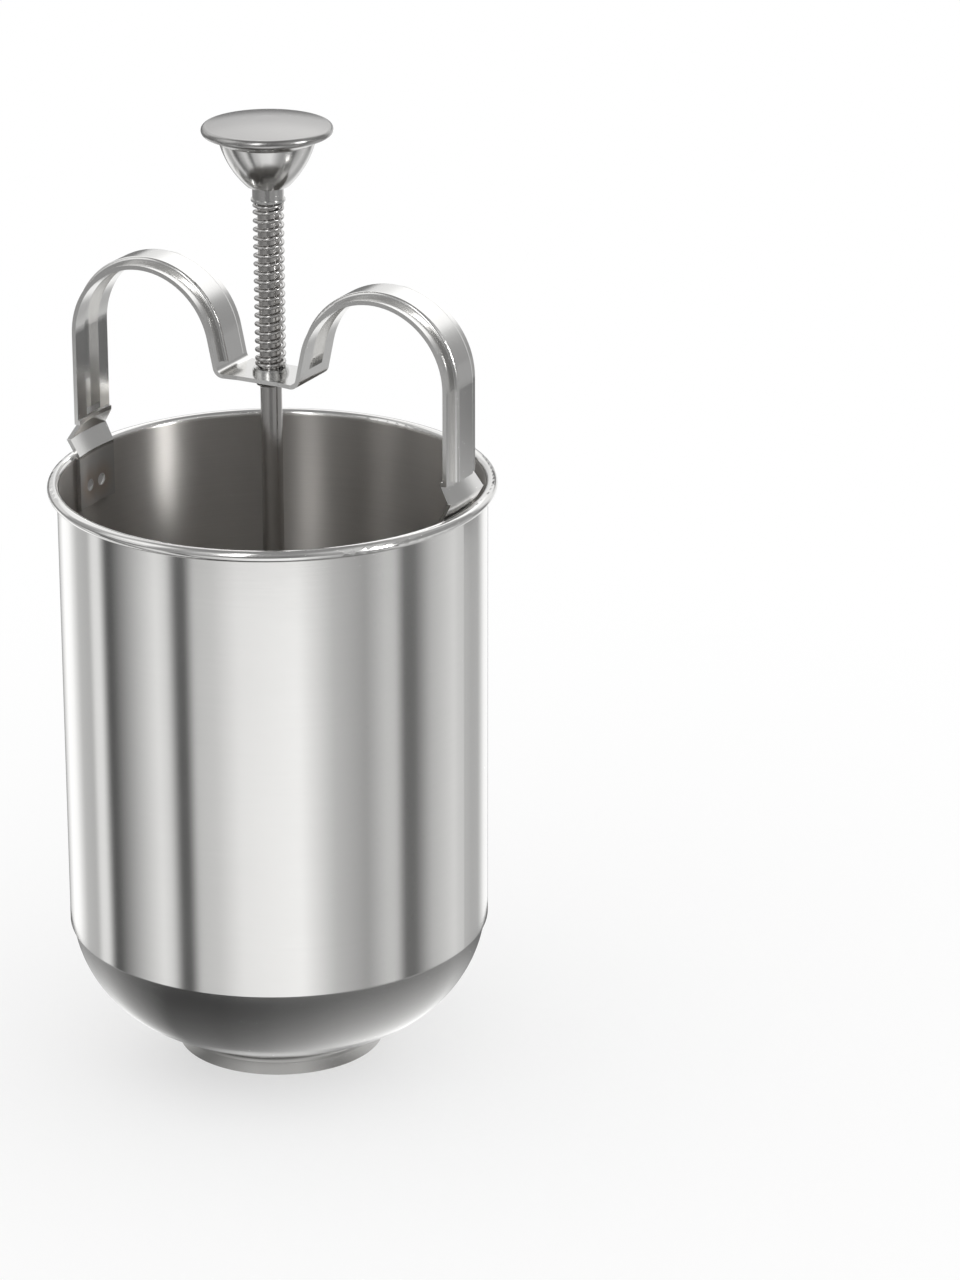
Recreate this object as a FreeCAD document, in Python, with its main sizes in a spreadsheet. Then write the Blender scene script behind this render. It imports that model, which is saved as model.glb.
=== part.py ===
"""Hand-held donut maker: a batter cylinder with an outlet, a strip handle and a sprung plunger.

Millimetres, +Z up. The origin is at the middle of the ring that the maker stands on.
"""
import FreeCAD, Part
import math
import os

import Sketcher

Vector = FreeCAD.Vector

# Driving dimensions: name and value in millimetres, degrees or counts.
DIMENSIONS = [
    # Batter cylinder
    ("wall_radius", 50.0),
    ("wall_sheet", 0.6),
    ("wall_height", 110.0),
    ("wall_edge_round", 0.35),
    ("rim_curl_radius", 1.4),
    ("rim_curl_end", 115.0),
    # Bowl and outlet
    ("bowl_height", 25.4),
    ("bowl_sheet", 0.6),
    ("bowl_curve", 29.0),
    ("bowl_flange", 6.0),
    ("seam_gap", 0.05),
    ("collar_height", 6.4),
    ("collar_radius", 24.6),
    ("collar_sheet", 0.6),
    ("collar_bead", 1.6),
    # Handle
    ("strip_sheet", 1.0),
    ("strip_width", 14.0),
    ("rib_width", 8.0),
    ("rib_rise", 1.3),
    ("rib_round", 0.8),
    ("rib_end", 0.5),
    ("leg_inset", 0.1),
    ("arch_shoulder", 11.8),
    ("crest_height", 48.4),
    ("inner_leg_lean", 12.0),
    ("bridge_height", 25.5),
    ("bridge_bend", 1.5),
    ("bend_rise", 1.6),
    ("bridge_flat", 5.2),
    ("bridge_width", 13.0),
    ("leg_foot", 7.2),
    ("tab_width", 15.4),
    ("tab_depth", 14.0),
    ("tab_turn", 0.5),
    ("tab_kink", 2.2),
    ("kink_height", 3.6),
    ("weld_radius", 1.3),
    ("weld_depth", 0.3),
    ("weld_spacing", 5.0),
    ("weld_drop", 9.0),
    # Rod, bush and spring
    ("rod_radius", 2.5),
    ("running_gap", 0.08),
    ("thread_gap", 0.03),
    ("washer_gap", 0.3),
    ("rod_chamfer", 0.5),
    ("bush_wall", 0.75),
    ("bush_flange", 0.87),
    ("bush_flange_sheet", 0.8),
    ("bush_tail", 1.8),
    ("seat_washer_margin", 0.35),
    ("seat_washer_sheet", 0.5),
    ("spring_wire", 0.8),
    ("spring_clearance", 0.3),
    ("spring_length", 39.5),
    ("spring_turns", 18.0),
    # Knob
    ("ferrule_wall", 1.07),
    ("ferrule_height", 3.0),
    ("knob_sheet", 0.6),
    ("knob_neck", 2.3),
    ("knob_waist_radius", 11.0),
    ("knob_waist_height", 10.4),
    ("knob_curve", 22.0),
    ("knob_flare_height", 2.2),
    ("knob_rim_radius", 15.0),
    ("knob_rim_band", 2.2),
    ("knob_crimp", 0.15),
    ("cap_sheet", 0.6),
    ("cap_crown", 1.5),
    ("cap_flat", 3.0),
    ("lock_washer_margin", 0.1),
    ("lock_washer_sheet", 1.0),
    # Nuts, and the stopper in the outlet
    ("nut_flats", 8.0),
    ("nut_height", 4.0),
    ("nut_chamfer", 0.6),
    ("rod_overrun", 0.8),
    ("stopper_clearance", 0.6),
    ("stopper_seat", 1.8),
    ("stopper_sheet", 0.8),
    ("stopper_ring", 3.5),
    ("stopper_rise", 6.0),
    ("stopper_top_radius", 8.0),
    ("stopper_seat_gap", 0.1),
    ("stopper_washer_radius", 6.5),
    ("stopper_washer_sheet", 0.6),
]

doc = FreeCAD.newDocument("DonutMaker")
sheet = doc.addObject("Spreadsheet::Sheet", "Sizes")
for row, (alias, value) in enumerate(DIMENSIONS, start=1):
    sheet.set(f"A{row}", alias)
    sheet.set(f"B{row}", str(value))
    sheet.setAlias(f"B{row}", alias)
doc.recompute()

ALIASES = {alias for alias, value in DIMENSIONS}


def bound(formula):
    """Give a formula in plain dimension names as an expression on the sheet's cells."""
    words = []
    word = ""
    for letter in formula + " ":
        if letter.isalnum() or letter == "_":
            word += letter
            continue
        words.append(f"Sizes.{word}" if word in ALIASES else word)
        words.append(letter)
        word = ""
    return "".join(words).strip()


def size(formula):
    """Work out a formula in plain dimension names, in millimetres or degrees."""
    return float(sheet.evalExpression(bound(formula)))


# Heights above the standing face, as formulas in the driving dimensions.
Z_SHOULDER = "(collar_height + bowl_height)"
Z_RIM = f"({Z_SHOULDER} + wall_height)"
Z_BRIDGE = f"({Z_RIM} + bridge_height)"
Z_BUSH_TOP = f"({Z_BRIDGE} + bush_flange_sheet)"
Z_SPRING_LOW = f"({Z_BUSH_TOP} + seat_washer_sheet)"
Z_SPRING_HIGH = f"({Z_SPRING_LOW} + spring_length)"
Z_FERRULE = f"({Z_SPRING_HIGH} + seat_washer_sheet)"
Z_KNOB = f"({Z_FERRULE} + ferrule_height)"
Z_WAIST = f"({Z_KNOB} + knob_waist_height)"
Z_CUP_FLANGE = f"({Z_WAIST} + knob_flare_height)"
Z_KNOB_NUT = f"({Z_KNOB} + knob_sheet + lock_washer_sheet)"
Z_ROD_TOP = f"({Z_KNOB_NUT} + nut_height + rod_overrun)"
Z_STOPPER = "(collar_height - stopper_seat_gap)"
Z_STOPPER_TOP = f"({Z_STOPPER} + stopper_rise)"
Z_TOP_NUT = f"({Z_STOPPER_TOP} + stopper_washer_sheet)"
Z_BOTTOM_WASHER = f"({Z_STOPPER_TOP} - stopper_sheet - stopper_washer_sheet)"
Z_BOTTOM_NUT = f"({Z_BOTTOM_WASHER} - nut_height)"
Z_ROD_BOTTOM = f"({Z_BOTTOM_NUT} - rod_overrun)"

# Radii that fits share.
R_WALL_IN = "(wall_radius - wall_sheet)"
R_BOWL = f"({R_WALL_IN} - seam_gap)"
R_STOPPER = "(collar_radius - collar_sheet - stopper_clearance)"
R_OUTLET = f"({R_STOPPER} - stopper_seat)"
R_LEG = f"({R_WALL_IN} - leg_inset)"
R_ARCH = f"(({R_LEG} - arch_shoulder) / (1 + cos(inner_leg_lean)))"
R_BORE = "(rod_radius + running_gap)"
R_THREAD = "(rod_radius + thread_gap)"
R_BUSH = f"({R_BORE} + bush_wall)"
R_BUSH_FLANGE = f"({R_BUSH} + bush_flange)"
R_WASHER = "(rod_radius + washer_gap)"
R_SPRING = "(rod_radius + spring_clearance + spring_wire / 2)"
R_SEAT_WASHER = f"({R_SPRING} + spring_wire / 2 + seat_washer_margin)"
R_FERRULE = f"({R_THREAD} + ferrule_wall)"
R_NECK = f"({R_THREAD} + knob_neck)"
R_LOCK_WASHER = f"({R_NECK} - lock_washer_margin)"
R_KNOB_LIP = "(knob_rim_radius - knob_rim_band / 2)"

# How near counts as touching, and the spring's ends in wire diameters: their height and their bend.
TOUCH = 1e-6
SPRING_LEAD = 2.4
SPRING_END_BEND = 1.2


def origin_plane(body, role):
    """Find one of a body's own origin planes by its role."""
    for feature in body.Origin.OriginFeatures:
        if feature.Role == role:
            return feature
    raise ValueError(role)


def arc_between(start, end, radius, centre_on_left):
    """Make an arc of under a half turn from its ends, radius and the side its centre lies on."""
    chord = end - start
    middle = (start + end) * 0.5
    left = Vector(-chord.y, chord.x, 0).normalize()
    reach = math.sqrt(max(radius ** 2 - (chord.Length / 2) ** 2, 0.0))
    centre = middle + left * (reach if centre_on_left else -reach)
    first, last = (start, end) if centre_on_left else (end, start)
    angles = [math.atan2(p.y - centre.y, p.x - centre.x) for p in (first, last)]
    if angles[1] <= angles[0]:
        angles[1] += 2 * math.pi
    circle = Part.Circle(centre, Vector(0, 0, 1), radius)
    return Part.ArcOfCircle(circle, angles[0], angles[1])


def place_point(sketch, point, kind, formula, value, axis):
    """Bind one coordinate of a sketch point, or lay the point on the axis where it is zero."""
    if formula == "0":
        sketch.addConstraint(Sketcher.Constraint("PointOnObject", *point, axis))
        return
    number = sketch.addConstraint(Sketcher.Constraint(kind, -1, 1, *point, value))
    sketch.setExpression(f"Constraints[{number}]", bound(formula))


def outline(body, name, plane, corners, arcs=None):
    """Draw a closed outline whose corners and arc radii are bound to the driving dimensions.

    corners is a list of (across, up) formulas. arcs maps the number of a corner to (radius formula,
    side) for the edge that leaves it, where side is "left" or "right", the side of the arc's centre.
    """
    arcs = arcs or {}
    sketch = body.newObject("Sketcher::SketchObject", name)
    sketch.AttachmentSupport = (origin_plane(body, plane), [""])
    sketch.MapMode = "FlatFace"
    points = [Vector(size(across), size(up), 0) for across, up in corners]
    count = len(points)
    start_of = []
    end_of = []
    for index, start in enumerate(points):
        end = points[(index + 1) % count]
        on_left = True
        if index in arcs:
            radius, side = arcs[index]
            on_left = side == "left"
            edge = arc_between(start, end, size(radius), on_left)
        else:
            edge = Part.LineSegment(start, end)
        sketch.addGeometry(edge, False)
        start_of.append((index, 1 if on_left else 2))
        end_of.append((index, 2 if on_left else 1))
    for index in range(count):
        following = (index + 1) % count
        sketch.addConstraint(Sketcher.Constraint("Coincident", *end_of[index], *start_of[following]))
    for index, (across, up) in enumerate(corners):
        for kind, formula, value, axis in (
            ("DistanceX", across, points[index].x, -2),
            ("DistanceY", up, points[index].y, -1),
        ):
            place_point(sketch, start_of[index], kind, formula, value, axis)
    for index, (radius, side) in arcs.items():
        number = sketch.addConstraint(Sketcher.Constraint("Radius", index, size(radius)))
        sketch.setExpression(f"Constraints[{number}]", bound(radius))
    return sketch


def new_body(name):
    """Start a body whose label names its file."""
    body = doc.addObject("PartDesign::Body", name)
    body.Label = name
    return body


def turned(name, corners, arcs=None):
    """Make a piece that is round about the vertical axis from its half section."""
    body = new_body(name)
    sketch = outline(body, f"{name}_section", "XZ_Plane", corners, arcs)
    feature = body.newObject("PartDesign::Revolution", f"{name}_turn")
    feature.Profile = sketch
    feature.ReferenceAxis = (sketch, ["V_Axis"])
    feature.Angle = 360
    return body


def ring(name, inner, outer, low, high):
    """Make a plain round washer or sleeve."""
    return turned(name, [(inner, low), (outer, low), (outer, high), (inner, high)])


def padded(body, sketch, width):
    """Extrude an outline evenly to both sides of its plane."""
    pad = body.newObject("PartDesign::Pad", f"{sketch.Label}_pad")
    pad.Profile = sketch
    pad.SideType = "Symmetric"
    pad.setExpression("Length", bound(width))
    return pad


def draw_circle(sketch, across, up, radius):
    """Add a circle whose place and radius are bound to the driving dimensions."""
    centre = Vector(size(across), size(up), 0)
    number = sketch.addGeometry(Part.Circle(centre, Vector(0, 0, 1), size(radius)), False)
    for kind, formula, value, axis in (
        ("DistanceX", across, centre.x, -2),
        ("DistanceY", up, centre.y, -1),
    ):
        place_point(sketch, (number, 3), kind, formula, value, axis)
    constraint = sketch.addConstraint(Sketcher.Constraint("Radius", number, size(radius)))
    sketch.setExpression(f"Constraints[{constraint}]", bound(radius))


def cut_through(body, sketch, length):
    """Cut an outline evenly to both sides of its plane."""
    pocket = body.newObject("PartDesign::Pocket", f"{sketch.Label}_cut")
    pocket.Profile = sketch
    pocket.SideType = "Symmetric"
    pocket.setExpression("Length", bound(length))
    return checked_cut(body, pocket)


def cut_forward(body, sketch, length):
    """Cut an outline along its plane's normal, to a given distance from the plane."""
    pocket = body.newObject("PartDesign::Pocket", f"{sketch.Label}_cut")
    pocket.Profile = sketch
    pocket.Reversed = True
    pocket.setExpression("Length", bound(length))
    return checked_cut(body, pocket)


def checked_cut(body, pocket):
    """Make sure that a cut has taken some of its body away."""
    doc.recompute()
    if pocket.Shape.Volume >= pocket.BaseFeature.Shape.Volume - TOUCH:
        raise RuntimeError(f"{pocket.Label} cuts nothing")
    return pocket


def make_container_wall():
    """Cylinder of sheet with a rounded lower edge and a hollow curl round its rim."""
    centre_r = f"({R_WALL_IN} + rim_curl_radius)"
    centre_z = f"({Z_RIM} - rim_curl_radius)"
    hollow = "(rim_curl_radius - wall_sheet)"

    def on_curl(radius, angle):
        """Give a point of the curl at an angle, counted from outwards and turning upwards."""
        return f"{centre_r} + {radius} * cos({angle})", f"{centre_z} + {radius} * sin({angle})"

    lip = "(0 - rim_curl_end)"
    corners = [
        (R_WALL_IN, Z_SHOULDER),
        ("wall_radius - wall_edge_round", Z_SHOULDER),
        ("wall_radius", f"{Z_SHOULDER} + wall_edge_round"),
        on_curl(hollow, "180"),
        on_curl(hollow, "90"),
        on_curl(hollow, "0"),
        on_curl(hollow, lip),
        on_curl("rim_curl_radius", lip),
        on_curl("rim_curl_radius", "0"),
        on_curl("rim_curl_radius", "90"),
        on_curl("rim_curl_radius", "180"),
    ]
    arcs = {
        1: ("wall_edge_round", "left"),
        3: (hollow, "right"),
        4: (hollow, "right"),
        5: (hollow, "right"),
        7: ("rim_curl_radius", "left"),
        8: ("rim_curl_radius", "left"),
        9: ("rim_curl_radius", "left"),
    }
    return turned("container_wall", corners, arcs)


def make_bottom_bowl():
    """Convex bowl with a flange that nests in the wall and a flat lip round the outlet."""
    lip_top = "collar_height + bowl_sheet"
    lip_bend = "(collar_radius + collar_bead)"
    corners = [
        (R_OUTLET, "collar_height"),
        (lip_bend, "collar_height"),
        (R_BOWL, Z_SHOULDER),
        (R_BOWL, f"{Z_SHOULDER} + bowl_flange"),
        (f"{R_BOWL} - bowl_sheet", f"{Z_SHOULDER} + bowl_flange"),
        (f"{R_BOWL} - bowl_sheet", Z_SHOULDER),
        (lip_bend, lip_top),
        (R_OUTLET, lip_top),
    ]
    arcs = {1: ("bowl_curve", "left"), 5: ("bowl_curve - bowl_sheet", "right")}
    return turned("bottom_bowl", corners, arcs)


def make_outlet_collar():
    """Short ring of sheet with a round bead pressed out at its top and an edge to stand on."""
    inside = "(collar_radius - collar_sheet)"
    hollow = "(collar_bead - collar_sheet)"
    groove = f"sqrt({hollow} * {hollow} - collar_sheet * collar_sheet)"
    middle = "(collar_height - collar_bead)"
    corners = [
        (inside, "0"),
        ("collar_radius", "0"),
        ("collar_radius", f"{middle} - collar_bead"),
        ("collar_radius + collar_bead", middle),
        ("collar_radius", "collar_height"),
        (inside, "collar_height"),
        (inside, f"{middle} + {groove}"),
        (f"collar_radius + {hollow}", middle),
        (inside, f"{middle} - {groove}"),
    ]
    arcs = {
        2: ("collar_bead", "left"),
        3: ("collar_bead", "left"),
        6: (hollow, "right"),
        7: (hollow, "right"),
    }
    return turned("outlet_collar", corners, arcs)


def make_handle_strip():
    """One strip bent to an M: half of it is built beside the rod, then mirrored and joined."""
    body = new_body("handle_half")
    arch_x = f"({R_LEG} - {R_ARCH})"
    arch_z = f"({Z_RIM} + crest_height - {R_ARCH})"
    foot_z = f"({Z_RIM} + leg_foot)"
    bend_top = f"({Z_BRIDGE} + bend_rise)"

    def shoulder(depth):
        """Give the point where the arch runs into the inner leg, that deep below the outer face."""
        radius = f"({R_ARCH} - {depth})"
        across = f"({arch_x} - {radius} * cos(inner_leg_lean))"
        return across, f"({arch_z} + {radius} * sin(inner_leg_lean))"

    def inner_leg(depth, height):
        """Give the point of the inner leg at a height, that deep below the outer face."""
        across, up = shoulder(depth)
        return f"({across} - ({up} - {height}) * tan(inner_leg_lean))", height

    def band(name, outer, inner, short):
        """Draw the leg, arch and inner leg between two depths, a little short at both ends."""
        foot = f"({foot_z} + {short})"
        low = f"({bend_top} + {short})"
        corners = [
            (f"{R_LEG} - {outer}", foot),
            (f"{R_LEG} - {outer}", arch_z),
            shoulder(outer),
            inner_leg(outer, low),
            inner_leg(inner, low),
            shoulder(inner),
            (f"{R_LEG} - {inner}", arch_z),
            (f"{R_LEG} - {inner}", foot),
        ]
        arcs = {1: (f"{R_ARCH} - {outer}", "left"), 5: (f"{R_ARCH} - {inner}", "right")}
        return outline(body, name, "XZ_Plane", corners, arcs)

    def depth_below_outer_face(point):
        """Measure how far a point of the strip lies inside the face that faces out of the arch."""
        lean = math.radians(size("inner_leg_lean"))
        across = point.x - size(arch_x)
        up = point.z - size(arch_z)
        if across > 0 and up < 0:
            return size(R_ARCH) - across
        if across < 0 and across * math.sin(lean) + up * math.cos(lean) < 0:
            return size(R_ARCH) + across * math.cos(lean) - up * math.sin(lean)
        return size(R_ARCH) - math.hypot(across, up)

    def rib_edges(shape):
        """List the long edges on both sides of the rib's outer face."""
        names = []
        for number, edge in enumerate(shape.Edges, start=1):
            middle = edge.valueAt((edge.FirstParameter + edge.LastParameter) / 2)
            on_side = abs(abs(middle.y) - size("rib_width") / 2) < TOUCH
            if on_side and abs(depth_below_outer_face(middle) + size("rib_rise")) < TOUCH:
                names.append(f"Edge{number}")
        return names

    # The leg, arch and inner leg: a flat band with a rounded rib pressed out along its middle.
    padded(body, band("strip_band", "0", "strip_sheet", "0"), "strip_width")
    rib_top = "(0 - rib_rise)"
    rib = padded(body, band("rib_band", rib_top, "strip_sheet / 2", "rib_end"), "rib_width")
    doc.recompute()
    rounding = body.newObject("PartDesign::Fillet", "rib_rounding")
    rounding.Base = (rib, rib_edges(rib.Shape))
    rounding.setExpression("Radius", bound("rib_round"))
    hollow = band("rib_hollow", "(strip_sheet - rib_rise)", "(2 * strip_sheet)", "(rib_end + strip_sheet)")
    cut_through(body, hollow, "rib_width - 2 * strip_sheet")

    # The bridge: a bend at the foot of the inner leg, and a flat that narrows towards the rod.
    corner_x = inner_leg("0", Z_BRIDGE)[0]
    fold_x = f"({corner_x} - bridge_bend * tan((90 - inner_leg_lean) / 2))"

    def bend_end(radius):
        """Give the point where the bend, with that radius, runs into the inner leg."""
        across = f"{fold_x} + ({radius}) * cos(inner_leg_lean)"
        return across, f"{Z_BRIDGE} + bridge_bend - ({radius}) * sin(inner_leg_lean)"

    bend_outside = "bridge_bend + strip_sheet"
    bend_corners = [
        (fold_x, f"{Z_BRIDGE} - strip_sheet"),
        bend_end(bend_outside),
        inner_leg("strip_sheet", bend_top),
        inner_leg("0", bend_top),
        bend_end("bridge_bend"),
        (fold_x, Z_BRIDGE),
    ]
    bend_arcs = {0: (bend_outside, "left"), 4: ("bridge_bend", "right")}
    bend = outline(body, "bridge_fold", "XZ_Plane", bend_corners, bend_arcs)
    padded(body, bend, "strip_width")
    flat_corners = [
        ("0", "0 - bridge_width / 2"),
        ("bridge_flat", "0 - bridge_width / 2"),
        (fold_x, "0 - strip_width / 2"),
        (fold_x, "strip_width / 2"),
        ("bridge_flat", "bridge_width / 2"),
        ("0", "bridge_width / 2"),
    ]
    flat = outline(body, "bridge_flat_plan", "XY_Plane", flat_corners)
    flat.setExpression("AttachmentOffset.Base.z", bound(f"{Z_BRIDGE} - strip_sheet"))
    plate = body.newObject("PartDesign::Pad", "bridge_flat_pad")
    plate.Profile = flat
    plate.setExpression("Length", bound("strip_sheet"))

    # The tab: it kinks outwards over the curl of the rim, slopes back in and runs down the wall.
    tab_out = f"({R_WALL_IN} - seam_gap)"
    kink_r = f"({R_WALL_IN} + tab_kink)"
    kink_z = f"({Z_RIM} + kink_height)"
    turn_z = f"({Z_RIM} - tab_turn)"
    tab_corners = [
        (tab_out, f"{Z_RIM} - tab_depth"),
        (tab_out, turn_z),
        (kink_r, kink_z),
        (R_LEG, foot_z),
        (R_LEG, f"{foot_z} + strip_sheet"),
        (f"{R_LEG} - strip_sheet", f"{foot_z} + strip_sheet"),
        (f"{R_LEG} - strip_sheet", foot_z),
        (f"{kink_r} - strip_sheet", kink_z),
        (f"{tab_out} - strip_sheet", turn_z),
        (f"{tab_out} - strip_sheet", f"{Z_RIM} - tab_depth"),
    ]
    section = outline(body, "tab_section", "XZ_Plane", tab_corners)
    tab = body.newObject("PartDesign::Revolution", "tab_sweep")
    tab.Profile = section
    tab.ReferenceAxis = (section, ["V_Axis"])
    tab.Midplane = True
    tab.setExpression("Angle", bound(f"2 * asin(tab_width / 2 / {tab_out})"))
    for side, name in (("-1", "rear"), ("1", "front")):
        taper_corners = [
            (f"{side} * strip_width / 2", f"{foot_z} + 2 * strip_sheet"),
            (f"{side} * strip_width / 2", foot_z),
            (f"{side} * tab_width / 2", kink_z),
            (f"{side} * tab_width", kink_z),
            (f"{side} * tab_width", f"{foot_z} + 2 * strip_sheet"),
        ]
        cut_forward(body, outline(body, f"tab_taper_{name}", "YZ_Plane", taper_corners), kink_r)
        weld = body.newObject("Sketcher::SketchObject", f"weld_{name}")
        weld.AttachmentSupport = (origin_plane(body, "YZ_Plane"), [""])
        weld.MapMode = "FlatFace"
        draw_circle(weld, f"{side} * weld_spacing / 2", f"{Z_RIM} - weld_drop", "weld_radius")
        cut_forward(body, weld, f"{tab_out} - strip_sheet + weld_depth")

    # The hole for the guide bush.
    hole = body.newObject("Sketcher::SketchObject", "bush_hole")
    hole.AttachmentSupport = (origin_plane(body, "XY_Plane"), [""])
    hole.MapMode = "FlatFace"
    draw_circle(hole, "0", "0", f"{R_BUSH} + thread_gap")
    cut_through(body, hole, f"2 * ({Z_BRIDGE} + strip_sheet)")

    mirrored = doc.addObject("Part::Mirroring", "handle_other_half")
    mirrored.Source = body
    mirrored.Normal = Vector(1, 0, 0)
    strip = doc.addObject("Part::Fuse", "handle_strip")
    strip.Base = body
    strip.Tool = mirrored
    strip.Refine = True
    strip.Label = "handle_strip"
    return strip


def make_rod_guide_bush():
    """Flanged sleeve clinched in the bridge, with a running fit for the rod."""
    under = f"{Z_BRIDGE} - strip_sheet"
    corners = [
        (R_BORE, f"{under} - bush_tail"),
        (R_BUSH, f"{under} - bush_tail"),
        (R_BUSH_FLANGE, under),
        (R_BUSH, under),
        (R_BUSH, Z_BRIDGE),
        (R_BUSH_FLANGE, Z_BRIDGE),
        (R_BUSH_FLANGE, Z_BUSH_TOP),
        (R_BORE, Z_BUSH_TOP),
    ]
    return turned("rod_guide_bush", corners)


def tangent_arc(start, corner, end):
    """Make the arc that touches both sides of an even corner, from its start to its end."""
    middle = (start + end) * 0.5
    half_chord = (end - start).Length / 2
    turn = math.acos(half_chord / (corner - start).Length)
    rise = (corner - middle).normalize() * (half_chord * math.tan(turn / 2))
    return Part.Arc(start, middle + rise, end).toShape()


def biarc(start, start_way, end, end_way):
    """Join two points, each with its direction, by two arcs that touch."""
    span = end - start
    ways = start_way + end_way
    spread = 2 * (1 - start_way.dot(end_way))
    along = span.dot(ways)
    reach = (math.sqrt(along ** 2 + spread * span.dot(span)) - along) / spread
    first = start + start_way * reach
    second = end - end_way * reach
    joint = (first + second) * 0.5
    return [tangent_arc(start, first, joint), tangent_arc(joint, second, end)]


def make_return_spring():
    """Wound wire between the two seat washers: its ends stand square on them."""
    wire = size("spring_wire")
    radius = size(R_SPRING)
    turns = int(round(size("spring_turns")))
    low = size(Z_SPRING_LOW)
    high = size(Z_SPRING_HIGH)
    lead = SPRING_LEAD * wire
    pitch = (high - low - 2 * lead) / turns
    slope = math.atan(pitch / (2 * math.pi * radius))
    up = Vector(0, 0, 1)

    def on_helix(turn):
        """Give the point and the direction of the helix after so many turns."""
        angle = 2 * math.pi * turn
        point = Vector(radius * math.cos(angle), radius * math.sin(angle), low + lead + pitch * turn)
        level = Vector(-math.sin(angle), math.cos(angle), 0)
        return point, level * math.cos(slope) + up * math.sin(slope)

    reach = SPRING_END_BEND * wire * math.tan((math.pi / 2 - slope) / 2)
    first, first_way = on_helix(0)
    last, last_way = on_helix(turns)
    low_corner = first - first_way * reach
    high_corner = last + last_way * reach
    low_bend = low_corner - up * reach
    high_bend = high_corner + up * reach
    foot = Vector(low_bend.x, low_bend.y, low)
    tip = Vector(high_bend.x, high_bend.y, high)
    edges = [Part.LineSegment(foot, low_bend).toShape(), tangent_arc(low_bend, low_corner, first)]
    for quarter in range(4 * turns):
        edges += biarc(*on_helix(quarter / 4), *on_helix((quarter + 1) / 4))
    edges += [tangent_arc(last, high_corner, high_bend), Part.LineSegment(high_bend, tip).toShape()]
    path = Part.Wire(edges)
    profile = Part.Wire([Part.Circle(foot, up, wire / 2).toShape()])
    spring = doc.addObject("Part::Feature", "return_spring")
    spring.Shape = path.makePipeShell([profile], True, False)
    report_wire(path, spring.Shape, wire, math.pi * radius)
    return spring


def report_wire(path, shape, wire, apart):
    """Print a wound wire's least gap to itself, and its volume against section times length."""
    points = path.discretize(Distance=wire / 2)
    step = path.Length / (len(points) - 1)
    skip = int(apart / step)
    gap = min(
        (points[i] - points[j]).Length
        for i in range(len(points))
        for j in range(i + skip, min(i + 4 * skip, len(points)))
    )
    tube = math.pi * wire ** 2 / 4 * path.Length
    print(f"return_spring: least gap to itself {gap - wire:.3f} mm, volume ratio {shape.Volume / tube:.4f}")


def make_plunger_rod():
    """Round rod with chamfered ends."""
    shank = "rod_radius - rod_chamfer"
    corners = [
        ("0", Z_ROD_BOTTOM),
        (shank, Z_ROD_BOTTOM),
        ("rod_radius", f"{Z_ROD_BOTTOM} + rod_chamfer"),
        ("rod_radius", f"{Z_ROD_TOP} - rod_chamfer"),
        (shank, Z_ROD_TOP),
        ("0", Z_ROD_TOP),
    ]
    return turned("plunger_rod", corners)


def make_knob_cup():
    """Spun conical cup whose flared flange lies in the rolled edge of the cap."""
    flange_end = f"{R_KNOB_LIP} + knob_crimp"
    flare_end = f"{R_KNOB_LIP} - 2 * knob_crimp"
    corners = [
        (R_THREAD, Z_KNOB),
        (R_NECK, Z_KNOB),
        ("knob_waist_radius", Z_WAIST),
        (flare_end, Z_CUP_FLANGE),
        (flange_end, Z_CUP_FLANGE),
        (flange_end, f"{Z_CUP_FLANGE} + knob_sheet"),
        (f"{flare_end} - knob_crimp", f"{Z_CUP_FLANGE} + knob_sheet"),
        ("knob_waist_radius - knob_sheet", Z_WAIST),
        (R_NECK, f"{Z_KNOB} + knob_sheet"),
        (R_THREAD, f"{Z_KNOB} + knob_sheet"),
    ]
    arcs = {1: ("knob_curve", "left"), 7: ("knob_curve - knob_sheet", "right")}
    return turned("knob_cup", corners, arcs)


def make_knob_cap():
    """Crowned disc, flat in the middle, whose edge is rolled round the flange of the cup."""
    bead = "(knob_rim_band / 2)"
    crown = f"(({R_KNOB_LIP} * {R_KNOB_LIP} + cap_crown * cap_crown) / (2 * cap_crown))"
    low = f"({Z_CUP_FLANGE} - seam_gap - cap_sheet)"
    middle = f"({low} + {bead})"
    top = f"({low} + knob_rim_band)"
    flat = f"({top} + cap_crown - {crown} + sqrt({crown} * {crown} - cap_flat * cap_flat))"
    corners = [
        ("0", f"{flat} - cap_sheet"),
        ("cap_flat", f"{flat} - cap_sheet"),
        (R_KNOB_LIP, f"{top} - cap_sheet"),
        ("knob_rim_radius - cap_sheet", middle),
        (R_KNOB_LIP, f"{low} + cap_sheet"),
        (R_KNOB_LIP, low),
        ("knob_rim_radius", middle),
        (R_KNOB_LIP, top),
        ("cap_flat", flat),
        ("0", flat),
    ]
    arcs = {
        1: (crown, "right"),
        2: (f"{bead} - cap_sheet", "right"),
        3: (f"{bead} - cap_sheet", "right"),
        5: (bead, "left"),
        6: (bead, "left"),
        7: (crown, "left"),
    }
    return turned("knob_cap", corners, arcs)


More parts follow.
